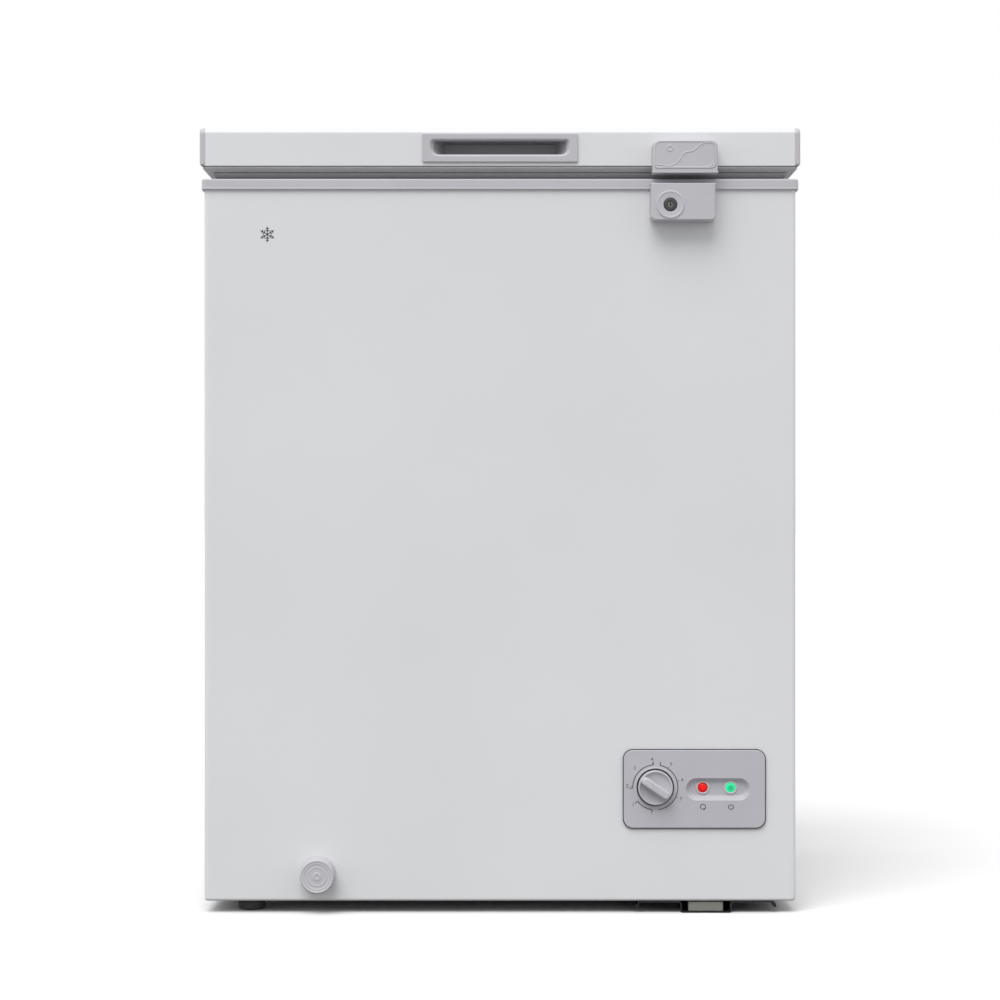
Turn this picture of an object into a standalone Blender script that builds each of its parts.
"""Small chest freezer: steel cabinet, foam walls, hinged lid, key lock, thermostat panel, compressor bay.

Someone facing the freezer has +X to the right, +Y going away and +Z up. The origin is on the floor, under
the middle of the freezer. All numbers below are millimetres, and the helpers build in metres.
"""

import math

import bmesh
import bpy
from mathutils import Matrix, Vector

MM = 0.001
GAP = 0.3  # between pieces that touch
SHEET = 0.6  # painted steel sheet

# Cabinet
CAB_X = 320.5  # half of the steel cabinet's width
CAB_Y = 260.0  # half of its depth
CAB_Z0 = 13.0  # its bottom edge above the floor
CORNER_R = 5.0
FLANGE = 15.0  # return flange round the cabinet's bottom

# Top frame of the cabinet
RIM_X = 323.5
RIM_Y = 263.0
RIM_Z0 = 783.5
RIM_Z1 = 795.5
RIM_WALL = 2.0

# Tub inside the cabinet, with a step over the compressor bay
TUB_X = 265.0
TUB_Y = 205.0
TUB_Z0 = 75.0
TUB_Z1 = RIM_Z1 - 2.6
STEP_X = 88.0  # the tub is shallow to the right of here
STEP_Z = 262.0
TUB_ROUND = 20.0
TUBE_SPACE = 12.0  # between tub and foam, where the evaporator lies

# Compressor bay
BAY_X = 136.0
BAY_Z = 214.4
BAY_MID_X = 222.5

# Lid
LID_X = 325.0
LID_Y = 264.5
LID_Z0 = 809.0
LID_Z1 = 850.0
LID_R = 6.0
CAP_X = 317.3  # the steel of the lid ends here, and the plastic end caps begin
LID_LINER = 1.5

# Hinges
HINGE_XS = {"left": -200.0, "right": 200.0}
PIN_Y = 275.0
PIN_Z = 802.0
PIN_R = 3.5
EAR_R = 10.0
EAR_IN = 27.0  # inner face of each ear, from the middle of the hinge
EAR_OUT = 30.0

# Lock and latch
LOCK_X = (162.0, 232.0)
LOCK_Z = (748.0, 788.0)
LOCK_FRONT = -284.0
BARREL_X = 183.0
BARREL_Z = 764.5
BARREL_R = 7.0
HOOK_Y = (-273.0, -270.0)
HOOK_REACH = 42.0
LATCH_X = (164.0, 234.0)
LATCH_Z = (798.6, 834.2)
LATCH_FRONT = -285.0

# Handle
HANDLE_X = 84.0
HANDLE_Z = (812.5, 843.5)
GRIP_X = 75.8
GRIP_Z = (819.3, 837.4)

# Thermostat panel
PANEL_X = (132.9, 287.7)
PANEL_Z = (91.6, 177.7)
PANEL_FRONT = -263.3
KNOB_X = 168.0
KNOB_Z = 136.5
KNOB_R = 18.7
KNOB_TILT = 34.0  # degrees, from level down to the right
LAMP_XS = {"red": 219.6, "green": 249.8}
LAMP_Z = 135.8
LAMP_R = 5.4

# Drain
DRAIN_X = -197.0
DRAIN_Z = 42.0
DRAIN_Y = -170.0
DRAIN_TUBE_R = 11.0
PLUG_R = 18.2

# Feet and base plate
FOOT_X = -272.0
FOOT_Y = 228.0
FOOT_R = 15.0
PLATE_X = (146.3, 300.0)
PLATE_T = 1.5
TROUGH_X = (195.5, 250.8)
PAD_X = (204.2, 242.0)

# Compressor
COMP_Y = 120.0
COMP_RX = 68.0
COMP_RY = 95.0
COMP_SEAM = 105.0

# Refrigerant tubes
EVAP_R = 4.0
COND_R = 2.5
RISER = (269.9, 150.0)  # where the evaporator's tube goes down into the bay
CAPILLARY = (275.4, 172.0)

MATERIALS = {
    "white_steel": ((0.68, 0.69, 0.71), 0.35, 0.0),
    "grey_plastic": ((0.50, 0.49, 0.53), 0.45, 0.0),
    "panel_plastic": ((0.44, 0.43, 0.46), 0.4, 0.0),
    "white_plastic": ((0.80, 0.80, 0.82), 0.4, 0.0),
    "black_plastic": ((0.02, 0.02, 0.02), 0.5, 0.0),
    "black_steel": ((0.02, 0.02, 0.02), 0.45, 0.0),
    "zinc_steel": ((0.55, 0.56, 0.58), 0.35, 1.0),
    "dark_metal": ((0.10, 0.10, 0.11), 0.3, 1.0),
    "aluminium": ((0.80, 0.81, 0.82), 0.35, 1.0),
    "copper": ((0.72, 0.38, 0.22), 0.3, 1.0),
    "rubber": ((0.05, 0.05, 0.045), 0.8, 0.0),
    "grey_rubber": ((0.24, 0.24, 0.20), 0.7, 0.0),
    "gasket": ((0.42, 0.42, 0.45), 0.6, 0.0),
    "foam": ((0.86, 0.78, 0.52), 0.9, 0.0),
    "red_lens": ((0.85, 0.03, 0.02), 0.2, 0.0),
    "green_lens": ((0.05, 0.60, 0.28), 0.2, 0.0),
}

# The drawing planes: local X and Y lie in the outline's plane, and local Z runs along the named axis.
PLANES = {
    "X": Matrix(((0, 0, 1), (1, 0, 0), (0, 1, 0))),
    "Y": Matrix(((1, 0, 0), (0, 0, -1), (0, 1, 0))),
    "Z": Matrix.Identity(3),
}


def clear_scene():
    for obj in list(bpy.data.objects):
        bpy.data.objects.remove(obj)


def new_collection(name, hidden=False):
    made = bpy.data.collections.new(name)
    bpy.context.scene.collection.children.link(made)
    made.hide_render = hidden
    return made


def make_materials():
    made = {}
    for name, (colour, roughness, metallic) in MATERIALS.items():
        material = bpy.data.materials.new(name)
        material.use_nodes = True
        shader = material.node_tree.nodes["Principled BSDF"]
        shader.inputs["Base Color"].default_value = (*colour, 1)
        shader.inputs["Roughness"].default_value = roughness
        shader.inputs["Metallic"].default_value = metallic
        made[name] = material
    return made


clear_scene()
FREEZER = new_collection("chest_freezer")
CUTTERS = new_collection("cutters", hidden=True)
PAINTS = make_materials()


# ---------------------------------------------------------------- outlines


def arc(centre, radius, start, end, steps=4):
    """Points on a circle, from one angle to another, in degrees."""
    angles = [math.radians(start + (end - start) * i / steps) for i in range(steps + 1)]
    return [(centre[0] + radius * math.cos(a), centre[1] + radius * math.sin(a)) for a in angles]


def rounded_rect(low, high, radii, steps=4):
    """A rectangle with one radius, or four from the low corner and on anticlockwise."""
    if isinstance(radii, (int, float)):
        radii = [radii] * 4
    corners = ((low[0], low[1]), (high[0], low[1]), (high[0], high[1]), (low[0], high[1]))
    inward = ((1, 1), (-1, 1), (-1, -1), (1, -1))
    points = []
    for i, (corner, turn, radius) in enumerate(zip(corners, inward, radii)):
        if not radius:
            points.append(corner)
            continue
        centre = (corner[0] + turn[0] * radius, corner[1] + turn[1] * radius)
        start = 180 + 90 * i
        points += arc(centre, radius, start, start + 90, steps)
    return points


def centred_rect(half_x, half_y, radius, steps=4):
    return rounded_rect((-half_x, -half_y), (half_x, half_y), radius, steps)


def band(path, inner_path):
    """The closed outline of a strip between two open paths that run the same way."""
    return path + inner_path[::-1]


def smooth_path(corners, radius, steps=3):
    """An open path in space with each corner rounded."""
    corners = [Vector(c) for c in corners]
    points = [corners[0]]
    for before, corner, after in zip(corners, corners[1:], corners[2:]):
        back = before - corner
        ahead = after - corner
        cut = min(radius, back.length * 0.45, ahead.length * 0.45)
        a = corner + back.normalized() * cut
        b = corner + ahead.normalized() * cut
        for i in range(steps + 1):
            t = i / steps
            points.append(a * (1 - t) ** 2 + corner * 2 * t * (1 - t) + b * t**2)
    return points + [corners[-1]]


# ---------------------------------------------------------------- solids


def mesh_object(name, mesh, paint=None):
    obj = bpy.data.objects.new(name, mesh)
    FREEZER.objects.link(obj)
    if paint:
        obj.data.materials.append(PAINTS[paint])
    return obj


def meshed(curve_object):
    """The solid that a curve object makes, as a mesh object in the same place, with its caps welded on."""
    FREEZER.objects.link(curve_object)
    graph = bpy.context.evaluated_depsgraph_get()
    mesh = bpy.data.meshes.new_from_object(curve_object.evaluated_get(graph))
    work = bmesh.new()
    work.from_mesh(mesh)
    bmesh.ops.remove_doubles(work, verts=work.verts, dist=1e-6)
    bmesh.ops.recalc_face_normals(work, faces=work.faces)
    work.to_mesh(mesh)
    work.free()
    name = curve_object.name
    matrix = curve_object.matrix_world.copy()
    bpy.data.objects.remove(curve_object)
    obj = mesh_object(name, mesh)
    obj.matrix_world = matrix
    return obj


def slab(name, outlines, low, high, axis="Z", paint=None):
    """A flat outline, then any holes in it, extruded along an axis from low to high.

    An outline's points are (X, Y) for axis Z, (X, Z) for axis Y and (Y, Z) for axis X.
    """
    curve = bpy.data.curves.new(name, "CURVE")
    curve.dimensions = "2D"
    curve.fill_mode = "BOTH"
    curve.extrude = (high - low) / 2 * MM
    for outline in outlines:
        spline = curve.splines.new("POLY")
        spline.points.add(len(outline) - 1)
        for point, (u, v) in zip(spline.points, outline):
            point.co = (u * MM, v * MM, 0, 1)
        spline.use_cyclic_u = True
    flat = bpy.data.objects.new(name, curve)
    flat.matrix_world = PLANES[axis].to_4x4()
    flat.location = [(low + high) / 2 * MM * (axis == a) for a in "XYZ"]
    bpy.context.view_layer.update()
    obj = meshed(flat)
    if paint:
        obj.data.materials.append(PAINTS[paint])
    return obj


def box(name, low, high, paint=None):
    mesh = bpy.data.meshes.new(name)
    work = bmesh.new()
    bmesh.ops.create_cube(work, size=1)
    size = [(b - a) * MM for a, b in zip(low, high)]
    middle = Vector([(b + a) / 2 * MM for a, b in zip(low, high)])
    bmesh.ops.scale(work, vec=size, verts=work.verts)
    bmesh.ops.translate(work, vec=middle, verts=work.verts)
    work.to_mesh(mesh)
    work.free()
    return mesh_object(name, mesh, paint)


def cylinder(name, centre, radius, low, high, axis="Z", sides=20, paint=None):
    """A round bar along an axis from low to high. The centre is in the plane, as a slab's outline is."""
    mesh = bpy.data.meshes.new(name)
    work = bmesh.new()
    bmesh.ops.create_cone(
        work,
        cap_ends=True,
        segments=sides,
        radius1=radius * MM,
        radius2=radius * MM,
        depth=(high - low) * MM,
    )
    work.to_mesh(mesh)
    work.free()
    obj = mesh_object(name, mesh, paint)
    place = {
        "X": lambda m: (m, *centre),
        "Y": lambda m: (centre[0], m, centre[1]),
        "Z": lambda m: (*centre, m),
    }
    where = Vector(place[axis]((low + high) / 2)) * MM
    obj.matrix_world = Matrix.Translation(where) @ PLANES[axis].to_4x4()
    return obj


def turned(name, profile, location, axis="Z", steps=20, ring=False, scale=(1, 1, 1), paint=None):
    """A turned piece. The profile is (radius, height) down its outer side, and a ring's profile is closed."""
    mesh = bpy.data.meshes.new(name)
    count = len(profile)
    edges = [(i, i + 1) for i in range(count - 1)] + ([(count - 1, 0)] if ring else [])
    mesh.from_pydata([(r * MM, 0, h * MM) for r, h in profile], edges, [])
    obj = mesh_object(name, mesh, paint)
    screw = obj.modifiers.new("turn", "SCREW")
    screw.steps = screw.render_steps = steps
    screw.use_merge_vertices = True
    screw.merge_threshold = 1e-5
    turn = PLANES[axis].to_4x4() @ Matrix.Diagonal((*scale, 1))
    obj.matrix_world = Matrix.Translation(Vector(location) * MM) @ turn
    return obj


def tube(name, points, radius, sides_level=2, wall=None, loop=False, paint=None):
    """A round wire or tube along points. With a wall it is hollow and open at both ends."""
    curve = bpy.data.curves.new(name, "CURVE")
    curve.dimensions = "3D"
    curve.bevel_depth = radius * MM
    curve.bevel_resolution = sides_level
    curve.use_fill_caps = wall is None
    spline = curve.splines.new("POLY")
    spline.points.add(len(points) - 1)
    for point, place in zip(spline.points, points):
        point.co = (*(Vector(place) * MM), 1)
    spline.use_cyclic_u = loop
    obj = bpy.data.objects.new(name, curve)
    obj = meshed(obj)
    if wall:
        thicken(obj, wall, -1)
    if paint:
        obj.data.materials.append(PAINTS[paint])
    return obj


def loft(name, rings, paint=None):
    """An open surface through rings of equally many points (x, y, z), with the last ring filled."""
    count = len(rings[0])
    points = [Vector(p) * MM for ring in rings for p in ring]
    faces = []
    for level in range(len(rings) - 1):
        for i in range(count):
            j = (i + 1) % count
            a, b = level * count, (level + 1) * count
            faces.append((a + i, a + j, b + j, b + i))
    last = (len(rings) - 1) * count
    faces.append([last + i for i in range(count)])
    mesh = bpy.data.meshes.new(name)
    mesh.from_pydata(points, [], faces)
    return mesh_object(name, mesh, paint)


# ---------------------------------------------------------------- changes to solids


def thicken(obj, thickness, side):
    """Gives an open surface a thickness: side 1 is along its normals, and -1 is against them."""
    solid = obj.modifiers.new("thickness", "SOLIDIFY")
    solid.thickness = thickness * MM
    solid.offset = side
    solid.use_even_offset = True


def round_edges(obj, width, segments=2, angle=40):
    bevel = obj.modifiers.new("rounding", "BEVEL")
    bevel.width = width * MM
    bevel.segments = segments
    bevel.limit_method = "ANGLE"
    bevel.angle_limit = math.radians(angle)


def boolean(obj, other, operation):
    FREEZER.objects.unlink(other)
    CUTTERS.objects.link(other)
    other.hide_render = True
    other.display_type = "WIRE"
    modifier = obj.modifiers.new(operation.lower(), "BOOLEAN")
    modifier.operation = operation
    modifier.object = other


def cut(obj, *others):
    for other in others:
        boolean(obj, other, "DIFFERENCE")
    return obj


def join(obj, *others):
    for other in others:
        boolean(obj, other, "UNION")
    return obj


def smooth_round_pieces():
    for obj in FREEZER.objects:
        obj.data.shade_smooth()
        obj.data.set_sharp_from_angle(angle=math.radians(35))


# ---------------------------------------------------------------- cabinet


def u_path(inset, rear, radius):
    """The cabinet's front and sides in plan, moved in by an inset, from rear left round to rear right."""
    x = CAB_X - inset
    y = CAB_Y - inset
    left = arc((-x + radius, -y + radius), radius, 180, 270)
    right = arc((x - radius, -y + radius), radius, 270, 360)
    return [(-x, rear), *left, *right, (x, rear)]


def outer_wrap():
    """One painted sheet round the front and both sides, with a flange turned in along the bottom."""
    walls = band(u_path(0, CAB_Y, CORNER_R), u_path(SHEET, CAB_Y, CORNER_R - SHEET))
    obj = slab("outer_wrap", [walls], CAB_Z0, RIM_Z1 - 2.5, paint="white_steel")
    flange = band(u_path(0, CAB_Y, CORNER_R), u_path(FLANGE, CAB_Y, 1.0))
    join(obj, slab("wrap_flange", [flange], CAB_Z0, CAB_Z0 + SHEET))
    low, high = (PANEL_X[0] + 8, -265, PANEL_Z[0] + 8), (PANEL_X[1] - 8, -255, PANEL_Z[1] - 8)
    opening = box("panel_opening", low, high)
    hole = cylinder("drain_hole", (DRAIN_X, DRAIN_Z), DRAIN_TUBE_R + 1, -265, -255, "Y")
    cut(obj, opening, hole)


def rear_panel():
    """The back sheet, with three pressed beads and the opening into the compressor bay."""
    bead_depth = 2.5
    bead_half = 12.0
    outer = [(CAB_Y, CAB_Z0 + 0.9)]
    for z in (330.0, 480.0, 630.0):
        outer += [
            (CAB_Y, z - bead_half),
            (CAB_Y - bead_depth, z - bead_half / 2),
            (CAB_Y - bead_depth, z + bead_half / 2),
            (CAB_Y, z + bead_half),
        ]
    outer.append((CAB_Y, RIM_Z1 - 2.5))
    inner = [(y - SHEET, z) for y, z in outer]
    half = CAB_X - SHEET - GAP
    obj = slab("rear_panel", [band(outer, inner)], -half, half, "X", "white_steel")
    cut(obj, box("bay_opening", (BAY_X + 10, 250, 24), (half - 10, 270, 198)))


def bottom_panel():
    """The steel floor, which steps up over the compressor bay."""
    z = CAB_Z0 + SHEET + GAP
    right = CAB_X - SHEET - GAP
    path = [(-right, z), (BAY_X, z), (BAY_X, BAY_Z - SHEET), (right, BAY_Z - SHEET)]
    upper = [(right, BAY_Z), (BAY_X - SHEET, BAY_Z), (BAY_X - SHEET, z + SHEET), (-right, z + SHEET)]
    rear = CAB_Y - SHEET - GAP
    obj = slab("bottom_panel", [path + upper], -CAB_Y + CORNER_R, rear, "Y", "zinc_steel")
    holes = [
        cylinder("riser_hole", RISER, EVAP_R + 1.5, 200, 230, sides=12),
        cylinder("capillary_hole", CAPILLARY, 2.5, 200, 230, sides=8),
        box("condenser_notch", (313, 226, 200), (330, 250, 230)),
        cylinder("sensor_hole", (BAY_X + 20, -200), 2.5, 200, 230, sides=8),
    ]
    cut(obj, *holes)


def tub_section(inset):
    """The tub in front view, stepped over the bay and open at the top, moved in by an inset."""
    left, right = -TUB_X + inset, TUB_X - inset
    floor, step = TUB_Z0 + inset, STEP_Z + inset
    wall = STEP_X - inset
    big, small, fillet = 25 - inset, 22 - inset, 10 + inset
    return [
        (left, TUB_Z1),
        *arc((left + big, floor + big), big, 180, 270, 3),
        *arc((wall - small, floor + small), small, 270, 360, 3),
        *arc((wall + fillet, step - fillet), fillet, 180, 90, 3),
        *arc((right - small, step + small), small, 270, 360, 3),
        (right, TUB_Z1),
    ]


def inner_liner():
    """The tub's thin aluminium skin: sections from its front to its rear, smaller at both rounded ends."""
    r = TUB_ROUND
    sections = []
    for degrees in (0, 30, 60, 90):
        turn = math.radians(degrees)
        y = TUB_Y - r + r * math.cos(turn)
        sections.append((y, [(x, y, z) for x, z in tub_section(r - r * math.sin(turn))]))
    rear = [ring for y, ring in sections]
    front = [[(x, -y, z) for x, y, z in ring] for ring in rear]
    rings = front + rear[::-1]
    count = len(rings[0])
    points = [Vector(p) * MM for ring in rings for p in ring]
    faces = []
    for level in range(len(rings) - 1):
        for i in range(count - 1):
            a, b = level * count + i, (level + 1) * count + i
            faces.append((a, b, b + 1, a + 1))
    faces.append(range(count))
    faces.append(range((len(rings) - 1) * count, len(rings) * count)[::-1])
    mesh = bpy.data.meshes.new("inner_liner")
    mesh.from_pydata(points, [], faces)
    obj = mesh_object("inner_liner", mesh, "aluminium")
    thicken(obj, SHEET, 1)
    cut(obj, cylinder("liner_drain_hole", (DRAIN_X, DRAIN_Y), 9.0, 60, 90, sides=16))


def drain_route(above):
    """The drain's middle line: down from the tub's floor and forward to the cabinet's front."""
    return [
        (DRAIN_X, DRAIN_Y, TUB_Z0 - SHEET - GAP + above),
        (DRAIN_X, DRAIN_Y, DRAIN_Z),
        (DRAIN_X, -CAB_Y - 1.7, DRAIN_Z),
    ]


def foam_insulation():
    """Polyurethane foam between the steel and the tub, less the room for the tubes on both sides of it."""
    x = 313.0
    y = 252.8
    low = 14.8
    outline = [
        (-x, low),
        (BAY_X - 0.9, low),
        (BAY_X - 0.9, BAY_Z + GAP),
        (x, BAY_Z + GAP),
        (x, RIM_Z1 - 2.6),
        (-x, RIM_Z1 - 2.6),
    ]
    obj = slab("foam_insulation", [outline], -y, y, "Y", "foam")
    left, right = -TUB_X - TUBE_SPACE, TUB_X + TUBE_SPACE
    floor, step = TUB_Z0 - TUBE_SPACE, STEP_Z - TUBE_SPACE
    wall = STEP_X + TUBE_SPACE
    recess = [(left, floor), (wall, floor), (wall, step), (right, step), (right, 820), (left, 820)]
    depth = TUB_Y + TUBE_SPACE
    cutters = [
        slab("tub_recess", [recess], -depth, depth, "Y"),
        tube("drain_channel", smooth_path(drain_route(12), 14), DRAIN_TUBE_R + 1.5),
        cylinder("riser_channel", RISER, EVAP_R + 1.5, 205, 260, sides=12),
        cylinder("capillary_channel", CAPILLARY, 2.5, 205, 260, sides=8),
        cylinder("sensor_channel", (BAY_X + 20, -200), 2.5, 205, 260, sides=8),
    ]
    cut(obj, *cutters)


def top_frame():
    """The plastic frame over the top edges of the steel, the foam and the tub."""
    inner_x = TUB_X - GAP - RIM_WALL
    inner_y = TUB_Y - GAP - RIM_WALL
    outer = rounded_rect((-RIM_X, -RIM_Y), (RIM_X, RIM_Y), [6, 6, 3, 3])
    mouth = centred_rect(inner_x, inner_y, 22)
    obj = slab("top_frame", [outer, mouth], RIM_Z1 - 2.2, RIM_Z1, paint="grey_plastic")
    skirt_inner = rounded_rect((-RIM_X + 2.5, -RIM_Y + 2.5), (RIM_X - 2.5, RIM_Y - 2.5), [4, 4, 0, 0])
    skirt = slab("frame_skirt", [outer, skirt_inner], RIM_Z0, RIM_Z1 - 1)
    throat_outer = centred_rect(inner_x + RIM_WALL, inner_y + RIM_WALL, 23)
    throat = slab("frame_throat", [throat_outer, mouth], 770, RIM_Z1 - 1)
    join(obj, skirt, throat)


# ---------------------------------------------------------------- base


def foot(name, y):
    """A rubber foot under the cabinet's left side, with a recess for its screw."""
    top = CAB_Z0 + SHEET
    profile = [
        (0, top),
        (FOOT_R - 1, top),
        (FOOT_R, top - 1),
        (FOOT_R - 0.3, 3),
        (FOOT_R - 2.4, 0),
        (6, 0),
        (6, 4),
        (0, 4),
    ]
    turned(name, profile, (FOOT_X, y, 0), paint="rubber")


def compressor_base_plate():
    """A pressed plate under the bay, with its edges turned down and a trough that stands on the floor."""
    top = CAB_Z0 - GAP
    under = top - PLATE_T
    left, right = PLATE_X
    a, b = TROUGH_X
    lip = 5.4
    t = PLATE_T
    lower = [
        (left, lip + 1.5),
        (left + 1.5, lip),
        (left + 4.2, lip + 0.4),
        (left + 4.2, under - 1.5),
        (left + 6, under),
        (a, under),
        (a + 1.6, 2.6),
        (a + 4.4, 0),
        (b - 4.4, 0),
        (b - 1.6, 2.6),
        (b, under),
        (right - 6, under),
        (right - 4.2, under - 1.5),
        (right - 4.2, lip + 0.4),
        (right - 1.5, lip),
        (right, lip + 1.5),
    ]
    upper = [
        (right, top - 1),
        (right - 1, top),
        (b + 0.9, top),
        (b - 0.9, top - 1.4),
        (b - 1.6 - t, 3.2),
        (b - 5, t),
        (a + 5, t),
        (a + 1.6 + t, 3.2),
        (a + 0.9, top - 1.4),
        (a - 0.9, top),
        (left + 1, top),
        (left, top - 1),
    ]
    slab("compressor_base_plate", [lower + upper], -CAB_Y + 1, CAB_Y - 1, "Y", "black_steel")


def base_pads():
    """Grey blocks in both ends of the trough, which stiffen it over the floor."""
    for name, y in (("base_pad_front", -CAB_Y + 3), ("base_pad_rear", CAB_Y - 43)):
        block = box(name, (PAD_X[0], y, PLATE_T + GAP), (PAD_X[1], y + 40, 11.6), "grey_rubber")
        round_edges(block, 0.6, 1)


# ---------------------------------------------------------------- refrigeration


def compressor():
    """The hermetic compressor: two deep-drawn shells round a pump, on a bracket with four grommets."""
    middle = (BAY_MID_X, COMP_Y, 0)
    oval = (COMP_RX / COMP_RY, 1, 1)
    r = COMP_RY
    wall = 3.0
    seam = COMP_SEAM
    bottom = 32.1
    lower = [
        (0, bottom + wall),
        (r - 30, bottom + wall),
        (r - 8, bottom + 20),
        (r - wall - 2, bottom + 38),
        (r - wall - 2, seam),
        (r - 2, seam),
        (r - 2, bottom + 36),
        (r - 6, bottom + 17),
        (r - 28, bottom),
        (0, bottom),
    ]
    turned("compressor_lower_shell", lower, middle, steps=24, scale=oval, paint="black_steel")
    top = 186.0
    base = seam + GAP
    upper = [
        (0, top),
        (r - 50, top - 3),
        (r - 18, top - 18),
        (r - 5, top - 42),
        (r - 4, base + 8),
        (r, base + 5),
        (r, base),
        (r - 7, base),
        (r - 8, top - 43),
        (r - 20, top - 21),
        (r - 51, top - 6),
        (0, top - wall),
    ]
    turned("compressor_upper_shell", upper, middle, steps=24, scale=oval, paint="black_steel")
    pump = [(0, 160), (36, 160), (40, 150), (40, 112), (54, 108), (54, 62), (30, 58), (0, 58)]
    turned("compressor_pump", pump, middle, steps=16, paint="dark_metal")
    bracket()
    for i, (sx, sy) in enumerate(((-1, -1), (1, -1), (1, 1), (-1, 1))):
        grommet = [(9, 29), (9, 24), (6.5, 22), (6.5, 19), (9, 17), (9, 13.1), (4, 13.1), (4, 29)]
        place = (BAY_MID_X + 52 * sx, COMP_Y + 70 * sy, 0)
        turned(f"compressor_grommet_{i + 1}", grommet, place, steps=12, ring=True, paint="rubber")


def bracket():
    """The plate welded under the compressor's shell, with a bolt hole over each grommet."""
    middle = (BAY_MID_X, COMP_Y)
    low = (middle[0] - 63, middle[1] - 82)
    high = (middle[0] + 63, middle[1] + 82)
    holes = [
        arc((middle[0] + 52 * sx, middle[1] + 70 * sy), 4.2, 0, 324, 9)
        for sx in (-1, 1)
        for sy in (-1, 1)
    ]
    slab("compressor_bracket", [rounded_rect(low, high, 12, 3), *holes], 29.3, 31.8, paint="black_steel")


def starter_cover():
    """The plastic cover over the compressor's terminals, on its front end."""
    y = COMP_Y - COMP_RY - GAP
    cover = box("starter_cover", (BAY_MID_X - 26, y - 34, 62), (BAY_MID_X + 26, y, 118), "black_plastic")
    round_edges(cover, 3, 2)


def evaporator_coil():
    """The cold tube: six turns round the tub, then down through the foam into the bay."""
    x, y = RISER[0], TUB_Y + SHEET + GAP + EVAP_R
    pitch = 75.0
    turns = 6
    low = 300.0
    corners = [(x, RISER[1], 206), (x, RISER[1], low)]
    for turn in range(turns):
        z = low + turn * pitch
        corners += [
            (x, y, z),
            (-x, y, z + pitch * 0.28),
            (-x, -y, z + pitch * 0.5),
            (x, -y, z + pitch * 0.78),
        ]
    corners.append((x, 120, low + turns * pitch - 8))
    tube("evaporator_coil", smooth_path(corners, 20, 2), EVAP_R, 1, paint="aluminium")


def condenser_coil():
    """The warm tube: six runs behind the cabinet's front and sides, with both ends down in the bay."""
    x = CAB_X - SHEET - GAP - COND_R
    y = CAB_Y - SHEET - GAP - COND_R
    rear = 231.0
    low = 260.0
    pitch = 96.0
    corners = [(x, rear, 206), (x, rear, low)]
    for run in range(6):
        z = low + run * pitch
        ends = [(x, -y, z), (-x, -y, z)]
        turn_up = [(-x, rear, z), (-x, rear, z + pitch)]
        if run % 2:
            ends = ends[::-1]
            turn_up = [(x, rear, z), (x, rear, z + pitch)]
        corners += ends
        if run < 5:
            corners += turn_up
    last = low + 5 * pitch
    corners += [(x, 245, last), (x, 245, 192), (280, 247.5, 190)]
    corners += [(158, 247.5, 190), (158, 238, 176), (158, 238, 166.5)]
    tube("condenser_coil", smooth_path(corners, 6, 2), COND_R, 0, paint="copper")


def bay_tubes():
    """The tubes in the bay, the filter drier and the capillary tube that rises beside the tub."""
    discharge = [(212, 216, 84), (212, 234, 84), (238, 240, 110)]
    discharge += [(296, 236, 150), (317.1, 231, 178), (317.1, 231, 205)]
    tube("discharge_line", smooth_path(discharge, 12, 2), COND_R, 1, paint="copper")
    suction = [(269.9, 150, 205), (269.9, 150, 196), (269.9, 60, 196)]
    suction += [(240, 0, 180), (236, 6, 130), (236, 20, 126)]
    tube("suction_line", smooth_path(suction, 14, 2), EVAP_R - 0.5, 1, paint="copper")
    drier = [(0, 166), (3.5, 166), (3.5, 158), (9, 150), (9, 78), (2.5, 68), (2.5, 60), (0, 60)]
    turned("filter_drier", drier, (158, 238, 0), steps=12, paint="copper")
    loop = [(158, 238, 59.5), (158, 238, 48), (175, 244, 40), (262, 240, 44), (286, 220, 70), (286, 190, 170)]
    rise = [(275.4, 172, 200), (275.4, 172, 736), (269.9, 160, 742), (269.9, 120.5, 742)]
    tube("capillary_tube", smooth_path(loop + rise, 12, 2), 1.2, 0, paint="copper")


def thermostat():
    """The thermostat behind the panel, and the sensing tube from it up to the tub."""
    low, high = (KNOB_X - 22, -241, KNOB_Z - 20), (KNOB_X + 22, -208, KNOB_Z + 20)
    body = box("thermostat_body", low, high, "zinc_steel")
    round_edges(body, 1.5, 1)
    shaft = [(0, -6), (3, -6), (3, -30), (0, -30)]
    turned("thermostat_shaft", shaft, (KNOB_X, -272 + 0.2, KNOB_Z), "Y", steps=12, paint="zinc_steel")
    sensor_x = BAY_X + 20
    sensor = [(KNOB_X, -207.6, KNOB_Z), (KNOB_X, -200, KNOB_Z), (sensor_x, -200, 190), (sensor_x, -200, 255)]
    tube("sensor_tube", smooth_path(sensor, 10, 2), 1.4, 0, paint="copper")


# ---------------------------------------------------------------- thermostat panel


def stadium(low, high):
    return rounded_rect(low, high, (high[1] - low[1]) / 2 - 0.01, 6)


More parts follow.
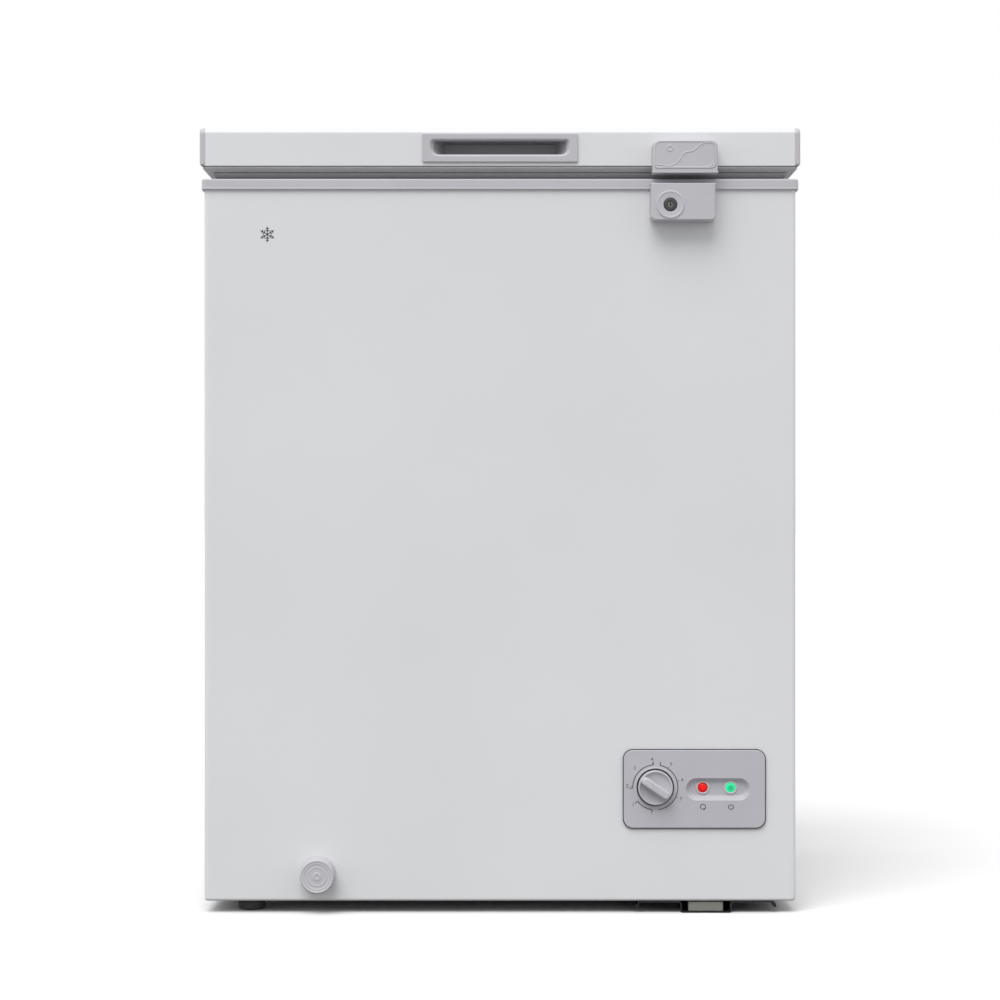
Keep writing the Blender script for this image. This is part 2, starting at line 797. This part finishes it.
def control_panel():
    """The fascia, with a tray that goes in through the steel and a long recess for the lamps."""
    low, high = (PANEL_X[0], PANEL_Z[0]), (PANEL_X[1], PANEL_Z[1])
    back = -CAB_Y - GAP
    obj = slab("control_panel", [rounded_rect(low, high, 11, 5)], PANEL_FRONT, back, "Y", "panel_plastic")
    tray_low = (low[0] + 9, low[1] + 9)
    tray_high = (high[0] - 9, high[1] - 9)
    tray_hole = rounded_rect((tray_low[0] + 2, tray_low[1] + 2), (tray_high[0] - 2, tray_high[1] - 2), 3, 2)
    join(obj, slab("panel_tray", [rounded_rect(tray_low, tray_high, 4, 2), tray_hole], back - 1, -244, "Y"))
    recess_low, recess_high = (200.5, 122.1), (270.8, 146.7)
    well_low, well_high = (recess_low[0] - 2, recess_low[1] - 2), (recess_high[0] + 2, recess_high[1] + 2)
    join(obj, slab("lamp_well", [stadium(well_low, well_high)], back - 1, -252.5, "Y"))
    cut(obj, slab("lamp_recess", [stadium(recess_low, recess_high)], -270, -255, "Y"))
    cut(obj, cylinder("shaft_hole", (KNOB_X, KNOB_Z), 5.0, -270, -250, "Y", 12))
    for name, x in LAMP_XS.items():
        cut(obj, cylinder(f"{name}_lamp_hole", (x, LAMP_Z), LAMP_R - 1.2, -258, -248, "Y", 14))


def lamps():
    """Two domed lenses in the recess, on a small board behind it."""
    r = LAMP_R
    for name, x in LAMP_XS.items():
        dome = [(0, 4.4), (r * 0.55, 3.7), (r * 0.9, 2.0), (r, 0.3), (r - 1.6, 0.3), (r - 1.6, -6), (0, -6)]
        turned(f"{name}_lamp", dome, (x, -255.3, LAMP_Z), "Y", steps=14, paint=f"{name}_lens")
    left, right = LAMP_XS["red"] - 14, LAMP_XS["green"] + 14
    box("lamp_board", (left, -248.9, LAMP_Z - 8), (right, -247.3, LAMP_Z + 8), "black_plastic")


def thermostat_knob():
    """A round knob with a raised grip across it, bored for the shaft."""
    face = [(0, 11), (KNOB_R - 4, 9), (KNOB_R - 0.8, 6), (KNOB_R, 4.5), (KNOB_R, 0), (0, 0)]
    place = (KNOB_X, PANEL_FRONT - 0.4, KNOB_Z)
    obj = turned("thermostat_knob", face, place, "Y", steps=28, paint="grey_plastic")
    grip = box("knob_grip", (-KNOB_R + 1.2, -15, -4.2), (KNOB_R - 1.2, -2, 4.2))
    round_edges(grip, 2.0, 2)
    turn = Matrix.Rotation(math.radians(KNOB_TILT), 4, "Y")
    grip.matrix_world = Matrix.Translation(Vector((KNOB_X, PANEL_FRONT - 0.4, KNOB_Z)) * MM) @ turn
    join(obj, grip)
    cut(obj, cylinder("knob_bore", (KNOB_X, KNOB_Z), 3.3, -273, -260, "Y", 12))


# ---------------------------------------------------------------- drain


def drain():
    """The drain tube through the foam, the plug on the cabinet's front and the stopper in the tub's floor."""
    tube("drain_tube", smooth_path(drain_route(0), 14), DRAIN_TUBE_R, 3, wall=2.5, paint="white_plastic")
    r = PLUG_R
    plug = [
        (0, 19.2),
        (5.0, 19.2),
        (5.0, 18.4),
        (11.0, 18.4),
        (11.0, 19.2),
        (r - 1.2, 19.2),
        (r, 18.0),
        (r + 1.2, 0),
        (13.0, 0),
        (13.0, 2.0),
        (7.0, 2.0),
        (6.4, -12),
        (0, -12),
    ]
    turned("drain_plug", plug, (DRAIN_X, -CAB_Y - 0.5, DRAIN_Z), "Y", steps=24, paint="grey_plastic")
    stopper = [(0, 8), (4, 8), (4, 3.6), (12.5, 3.2), (13.5, 2), (13.5, 0.3), (6.8, 0.3), (6.2, -9), (0, -9)]
    turned("drain_stopper", stopper, (DRAIN_X, DRAIN_Y, TUB_Z0), steps=16, paint="white_plastic")


# ---------------------------------------------------------------- lock and latch


def lock_housing():
    """The lock's case on the cabinet: open at the back, with a slot in its top for the hook."""
    back = -CAB_Y - GAP
    outer = rounded_rect((LOCK_X[0], LOCK_Z[0]), (LOCK_X[1], LOCK_Z[1]), [6, 6, 1.2, 1.2])
    obj = slab("lock_housing", [outer], LOCK_FRONT, back, "Y", "grey_plastic")
    wall = 2.5
    inside = box(
        "lock_inside",
        (LOCK_X[0] + wall, LOCK_FRONT + wall, LOCK_Z[0] + wall),
        (LOCK_X[1] - wall, back + 5, LOCK_Z[1] - wall),
    )
    above = LOCK_Z[1] + 5
    over_rim = box("rim_notch", (LOCK_X[0] - 5, -RIM_Y - GAP, RIM_Z0 - 0.4), (LOCK_X[1] + 5, back + 5, above))
    slot = box("hook_slot", (BARREL_X - 6, HOOK_Y[0] - 1, above - 11), (BARREL_X + 39, HOOK_Y[1] + 1, above))
    join(obj, cylinder("lock_collar", (BARREL_X, BARREL_Z), 15.2, LOCK_FRONT - 1, LOCK_FRONT + 1.5, "Y", 28))
    cut(obj, inside, over_rim, slot)
    cut(obj, cylinder("barrel_hole", (BARREL_X, BARREL_Z), BARREL_R + 0.4, -290, -275, "Y", 20))


def lock_barrel():
    """The key barrel, with a keyway in its face and a spigot that turns the hook."""
    r = BARREL_R
    profile = [(0, 11.5), (r, 11.5), (r, 1.5), (5, 1.5), (5, -9), (0, -9)]
    place = (BARREL_X, LOCK_FRONT - 1 + 11.5, BARREL_Z)
    obj = turned("lock_barrel", profile, place, "Y", steps=20, paint="dark_metal")
    cut(obj, box("keyway", (BARREL_X - 0.9, -290, BARREL_Z - 3.6), (BARREL_X + 0.9, -279, BARREL_Z + 3.6)))


def lock_hook():
    """A flat hook round the barrel. A quarter turn swings it up out of the case, behind a ledge in the latch."""
    reach = HOOK_REACH
    outline = [(reach, -4), (reach, 12), (reach - 3.5, 12), (reach - 3.5, 4), *arc((0, 0), 8.5, 28, 332, 8)]
    outline = [(BARREL_X + u, BARREL_Z + v) for u, v in outline]
    bore = arc((BARREL_X, BARREL_Z), 5.4, 0, 330, 11)
    slab("lock_hook", [outline, bore], *HOOK_Y, "Y", "zinc_steel")


def lid_latch():
    """The latch on the lid: a block with a pocket in its underside, a ledge in it and a raised front."""
    back = -LID_Y - GAP
    outer = rounded_rect((LATCH_X[0], LATCH_Z[0]), (LATCH_X[1], LATCH_Z[1]), [1, 1, 7, 7])
    obj = slab("lid_latch", [outer], LATCH_FRONT + 1.2, back, "Y", "grey_plastic")
    face = rounded_rect(
        (LATCH_X[0] + 2.2, LATCH_Z[0] + 5), (LATCH_X[1] - 2.2, LATCH_Z[1] - 1.6), [4, 7, 6, 6]
    )
    join(obj, slab("latch_face", [face], LATCH_FRONT, LATCH_FRONT + 3, "Y"))
    y0, y1 = HOOK_Y[0] - 3, HOOK_Y[1] + 3
    ledge = LATCH_Z[0] + 3.0
    pocket = box("hook_pocket", (BARREL_X - 13.5, y0, ledge), (BARREL_X + 29, y1, BARREL_Z + 46.5))
    mouth = box("pocket_mouth", (BARREL_X - 5.5, y0, LATCH_Z[0] - 3), (BARREL_X + 29, y1, ledge + 1))
    cut(obj, pocket, mouth)


# ---------------------------------------------------------------- lid


def lid_path(inset, radius):
    """The lid's steel from its front return, over the top, to its rear return, in side view."""
    y = LID_Y - inset
    top = LID_Z1 - inset
    low = LID_Z0 + inset
    lip = LID_Y - 8
    return [
        (-lip, low),
        (-y, low),
        *arc((-y + radius, top - radius), radius, 180, 90),
        *arc((y - radius, top - radius), radius, 90, 0),
        (y, low),
        (lip, low),
    ]


def lid_outer_panel():
    """One painted sheet bent down at the front and rear, with an opening for the handle."""
    outline = band(lid_path(0, LID_R), lid_path(SHEET, LID_R - SHEET))
    obj = slab("lid_outer_panel", [outline], -CAP_X, CAP_X, "X", "white_steel")
    low, high = (-HANDLE_X + 4.5, -270, HANDLE_Z[0] + 3), (HANDLE_X - 4.5, -260, HANDLE_Z[1] - 2)
    cut(obj, box("handle_opening", low, high))


def lid_end_cap(side, sign):
    """The plastic cap on one end of the lid, hollow towards the foam."""
    outline = rounded_rect((-LID_Y, LID_Z0), (LID_Y, LID_Z1), [1.5, 1.5, 7, 7], 5)
    inner = CAP_X + GAP
    low, high = sorted((sign * inner, sign * LID_X))
    obj = slab(f"lid_end_cap_{side}", [outline], low, high, "X", "grey_plastic")
    hollow_low, hollow_high = sorted((sign * (inner - 5), sign * (LID_X - 2.5)))
    hollow = rounded_rect((-LID_Y + 2.5, LID_Z0 + 2.5), (LID_Y - 2.5, LID_Z1 - 2.5), 4, 2)
    cut(obj, slab(f"cap_hollow_{side}", [hollow], hollow_low, hollow_high, "X"))


def lid_inner_liner():
    """The formed plastic under the lid, with a sloping edge, a gasket seat and a panel that drops in."""
    sections = [
        (323.0, 262.5, 6, 808.7),
        (312.0, 251.5, 6, 804.8),
        (290.0, 230.0, 8, 804.8),
        (284.0, 224.0, 10, 811.8),
        (246.0, 184.0, 16, 811.8),
        (240.0, 178.0, 18, 808.0),
        (233.0, 171.0, 20, 788.0),
        (226.0, 164.0, 18, 785.5),
    ]
    rings = [[(x, y, z) for x, y in centred_rect(hx, hy, r, 3)] for hx, hy, r, z in sections]
    obj = loft("lid_inner_liner", rings, "white_plastic")
    work = bmesh.new()
    work.from_mesh(obj.data)
    bmesh.ops.recalc_face_normals(work, faces=work.faces)
    if work.faces[-1].normal.z > 0:
        bmesh.ops.reverse_faces(work, faces=work.faces)
    work.to_mesh(obj.data)
    work.free()
    thicken(obj, LID_LINER, 1)


def lid_foam():
    """The lid's foam: a slab, and a thinner block down in the liner's panel, less the handle's room."""
    outline = rounded_rect((-263.6, 812.2), (263.6, 849.1), [0, 0, 6, 6])
    obj = slab("lid_foam", [outline], -316.9, 316.9, "X", "foam")
    join(obj, slab("foam_drop", [centred_rect(228, 166, 19)], 788.5, 815))
    cut(obj, box("handle_room", (-80, -270, 815), (80, -236, 842)))


def lid_gasket():
    """The magnetic gasket: a flat base, a narrower fold and a wide sealing face."""
    outlines = [centred_rect(311.5, 251, 6), centred_rect(293, 232.5, 8)]
    obj = slab("lid_gasket", outlines, RIM_Z1 + GAP, 798.6, paint="gasket")
    fold = slab("gasket_fold", [centred_rect(309.5, 249, 5), centred_rect(295, 234.5, 8)], 798, 801.5)
    base = slab("gasket_base", [centred_rect(311, 250.5, 6), centred_rect(293.5, 233, 8)], 801, 803.0)
    join(obj, fold, base)


def lid_handle():
    """The recessed pull: a frame on the lid's front and the bucket behind it."""
    frame = rounded_rect((-HANDLE_X, HANDLE_Z[0]), (HANDLE_X, HANDLE_Z[1]), 1.5, 2)
    obj = slab("lid_handle", [frame], -LID_Y - 2.3, -LID_Y - GAP, "Y", "grey_plastic")
    join(obj, box("handle_bucket", (-79, -LID_Y - 1, 816), (79, -238, 841)))
    grip = rounded_rect((-GRIP_X, GRIP_Z[0]), (GRIP_X, GRIP_Z[1]), [8, 8, 4, 4])
    cut(obj, slab("grip_mouth", [grip], -270, -240, "Y"))


# ---------------------------------------------------------------- hinges


def ear_outline():
    """A hinge ear in side view: from the plate on the cabinet up and back round the pin."""
    return [
        (CAB_Y + 1.5, 722),
        (PIN_Y + 2, 762),
        (PIN_Y + EAR_R, PIN_Z - 12),
        *arc((PIN_Y, PIN_Z), EAR_R, 0, 180, 6),
        (PIN_Y - EAR_R, 786),
        (CAB_Y + 1.5, 778),
    ]


def hinge(side, x):
    """One hinge: ears on the cabinet, an arm on the lid, the pin through both and a counterbalance spring."""
    low, high = (x - EAR_OUT, CAB_Y + GAP, 716), (x + EAR_OUT, CAB_Y + 2.3, 783)
    plate = box(f"hinge_base_{side}", low, high, "zinc_steel")
    pin_hole = arc((PIN_Y, PIN_Z), PIN_R + 0.4, 0, 330, 11)
    for index, (low, high) in enumerate(((-EAR_OUT, -EAR_IN), (EAR_IN, EAR_OUT))):
        join(plate, slab(f"ear_{side}_{index}", [ear_outline(), pin_hole], x + low, x + high, "X"))
    arm(side, x)
    head = EAR_OUT + 3
    profile = [(0, head), (5.5, head), (5.5, head - 2), (PIN_R, head - 2), (PIN_R, -head), (0, -head)]
    turned(f"hinge_pin_{side}", profile, (x, PIN_Y, PIN_Z), "X", steps=12, paint="zinc_steel")
    spring(side, x)


def arm(side, x):
    """The lid's half of a hinge: a plate on the lid's back, and a leaf down to the barrel round the pin."""
    face = LID_Y + GAP
    obj = box(f"hinge_arm_{side}", (x - 28, face, 814), (x + 28, face + 2, 844), "zinc_steel")
    leaf = [(face, 818), (face + 2, 818), (PIN_Y + 6, PIN_Z + 3)]
    leaf += [(PIN_Y - 5, PIN_Z + 1), (face + 0.4, PIN_Z + 10)]
    join(obj, slab(f"arm_leaf_{side}", [leaf], x - 24, x - 4, "X"))
    join(obj, cylinder(f"arm_barrel_{side}", (PIN_Y, PIN_Z), 7.2, x - 24.5, x - 3.5, "X", 16))
    cut(obj, cylinder(f"arm_bore_{side}", (PIN_Y, PIN_Z), PIN_R + 0.5, x - 30, x + 2, "X", 12))


def spring(side, x):
    """The torsion spring beside the arm, with one leg down on the cabinet's plate."""
    coil_r = 6.0
    turns = 5
    per_turn = 9
    start, end = x + 1.0, x + 23.0
    points = []
    for i in range(turns * per_turn + 1):
        share = i / (turns * per_turn)
        angle = 2 * math.pi * turns * share
        middle = start + (end - start) * share
        points.append((middle, PIN_Y - coil_r * math.cos(angle), PIN_Z - coil_r * math.sin(angle)))
    points.append((end + 0.5, PIN_Y - coil_r - 0.8, PIN_Z - 8))
    points.append((end + 0.5, CAB_Y + 4.6, PIN_Z - 26))
    points.append((end + 0.5, CAB_Y + 3.9, PIN_Z - 40))
    tube(f"hinge_spring_{side}", points, 1.0, 0, paint="dark_metal")


# ---------------------------------------------------------------- rear of the bay


def rear_cover():
    """The louvred cover over the back of the compressor bay."""
    low, high = (BAY_X + 3, 16.0), (CAB_X - 3, 209.0)
    slots = [rounded_rect((low[0] + 30, z), (high[0] - 30, z + 5), 2.4, 2) for z in range(66, 186, 15)]
    cord_hole = arc((BAY_X + 22, 36), 7, 0, 330, 11)
    outline = rounded_rect(low, high, 4, 2)
    slab("rear_cover", [outline, cord_hole, *slots], CAB_Y + GAP, CAB_Y + 1.5, "Y", "zinc_steel")


def cord_grommet():
    """The rubber gland where the mains cord comes out of the cover."""
    profile = [(10, 5), (10, 1.7), (6.6, 1.7), (6.6, -2.0), (9, -2.4), (8, -5), (4, -5), (4, 5)]
    place = (BAY_X + 22, CAB_Y, 36)
    turned("cord_grommet", profile, place, "Y", steps=14, ring=True, paint="rubber").scale.z = -1


# ---------------------------------------------------------------- basket


def storage_basket():
    """A wire basket that hangs across the tub on the top frame and slides along it."""
    x0, x1 = 40.0, 240.0
    y = 188.0
    top, low = 776.0, 600.0
    wire = 2.0
    rings = [(top, wire + 0.8), ((top + low) / 2 + 10, wire)]
    pieces = []
    for level, radius in rings:
        corners = centred_rect((x1 - x0) / 2, y, 14, 2)
        path = [((x0 + x1) / 2 + u, v, level) for u, v in corners]
        pieces.append(tube("basket_ring", path, radius, 1, loop=True))
    for i in range(5):
        x = x0 + 22 + i * 39
        hang = [(x, -y, top), (x, -y, low), (x, y, low), (x, y, top)]
        pieces.append(tube("basket_rib", smooth_path(hang, 14, 2), wire, 0))
    for i in range(5):
        across_y = -y + 42 + i * 73
        hang = [(x0, across_y, top), (x0, across_y, low + 1), (x1, across_y, low + 1), (x1, across_y, top)]
        pieces.append(tube("basket_cross", smooth_path(hang, 14, 2), wire, 0))
    for sign in (-1, 1):
        for x in (x0 + 41, x1 - 41):
            hook = [(x, sign * y, top), (x, sign * (y + 3), 797.9), (x, sign * (y + 34), 797.9)]
            pieces.append(tube("basket_hook", smooth_path(hook, 6, 2), wire, 0))
    first = pieces[0]
    first.name = "storage_basket"
    first.data.materials.append(PAINTS["white_plastic"])
    join(first, *pieces[1:])


def main():
    outer_wrap()
    rear_panel()
    bottom_panel()
    inner_liner()
    foam_insulation()
    top_frame()
    foot("foot_front_left", -FOOT_Y)
    foot("foot_rear_left", FOOT_Y)
    compressor_base_plate()
    base_pads()
    compressor()
    starter_cover()
    evaporator_coil()
    condenser_coil()
    bay_tubes()
    thermostat()
    control_panel()
    lamps()
    thermostat_knob()
    drain()
    lock_housing()
    lock_barrel()
    lock_hook()
    lid_latch()
    lid_outer_panel()
    lid_end_cap("left", -1)
    lid_end_cap("right", 1)
    lid_inner_liner()
    lid_foam()
    lid_gasket()
    lid_handle()
    for side, x in HINGE_XS.items():
        hinge(side, x)
    rear_cover()
    cord_grommet()
    storage_basket()
    smooth_round_pieces()


main()
